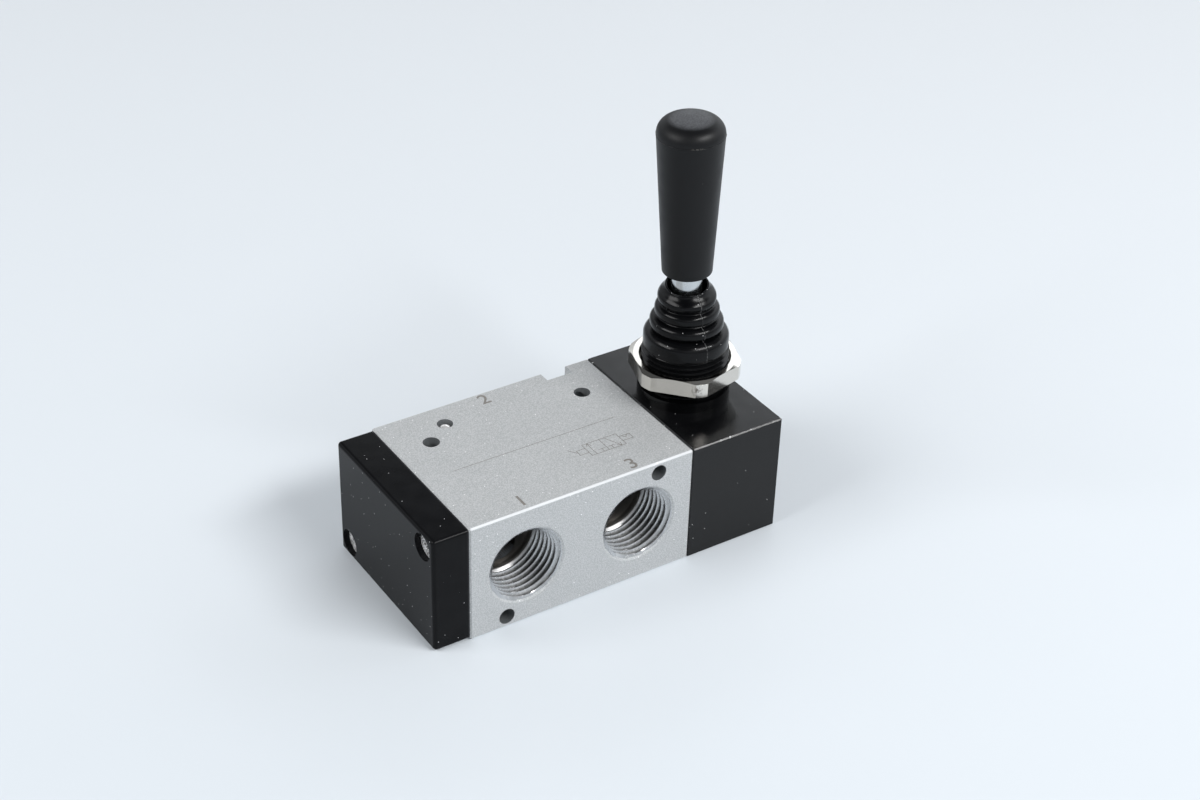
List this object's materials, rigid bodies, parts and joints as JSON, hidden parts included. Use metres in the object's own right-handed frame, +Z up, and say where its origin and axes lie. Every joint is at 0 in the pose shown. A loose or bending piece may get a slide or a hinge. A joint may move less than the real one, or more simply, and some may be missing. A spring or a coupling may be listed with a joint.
{
  "type": "hand lever air valve",
  "caption": "Hand lever directional air valve: rectangular metal body with threaded ports, end cap, and a lever block with collar, nut, bellows boot and tapered grip.",
  "frame": {"origin": "bottom centre of the valve's bounding box, so it stands on its underside", "axes": "+X along the spool from the end cap to the lever block, +Y from the two front ports to the rear port, +Z up along the lever, the longest extent"},
  "size_m": [0.1036, 0.05, 0.113],
  "materials": {
    "body_aluminium": "sand blasted and clear anodised",
    "black_aluminium": "black anodised, glossy",
    "cap_plastic": "moulded, satin black",
    "nickel": "nickel plated",
    "zinc_steel": "bright zinc plated",
    "steel": "bright",
    "boot_rubber": "glossy black rubber",
    "seal_rubber": "black nitrile",
    "grip_plastic": "moulded, matte black",
    "wear_plastic": "natural acetal",
    "spool_aluminium": "turned and anodised",
    "brass": "turned"
  },
  "bodies": {
    "valve": {"valve_body": "body_aluminium", "passage_plug": "steel", "end_cap": "cap_plastic", "lever_housing": "black_aluminium", "end_cap_seal": "seal_rubber", "housing_seal": "seal_rubber", "end_cap_screws": "steel", "housing_screws": "steel", "panel_nut": "nickel", "boot": "boot_rubber", "pivot_pin": "steel", "detent_sleeve": "steel"},
    "lever": {"lever_rod": "zinc_steel", "grip": "grip_plastic", "grip_insert": "brass"},
    "spool": {"spool": "spool_aluminium", "spool_seal_1": "seal_rubber", "spool_seal_2": "seal_rubber", "spool_seal_3": "seal_rubber", "spool_seal_4": "seal_rubber", "wear_ring": "wear_plastic", "detent_spring": "steel"},
    "detent": {"detent_ball": "steel"}
  },
  "joints": [
    {"name": "lever_hinge", "type": "hinge", "parent": "valve", "child": "lever", "pos_m": [0.03718, 0, 0.041], "axis": [0, 1, 0], "range_deg": [0, 14], "deforming": ["boot"]},
    {"name": "spool_slide", "type": "slide", "parent": "valve", "child": "spool", "axis": [-1, 0, 0], "range_m": [0, 0.00586]},
    {"name": "detent_lift", "type": "slide", "parent": "spool", "child": "detent", "axis": [0, 0, 1], "range_m": [0, 0.0004], "stiffness_N_per_m": 2000, "springref_m": 0.003, "deforming": ["detent_spring"]}
  ],
  "couplings": [
    {"joint": "spool_slide", "follows": "lever_hinge", "m_per_rad": 0.024}
  ]
}
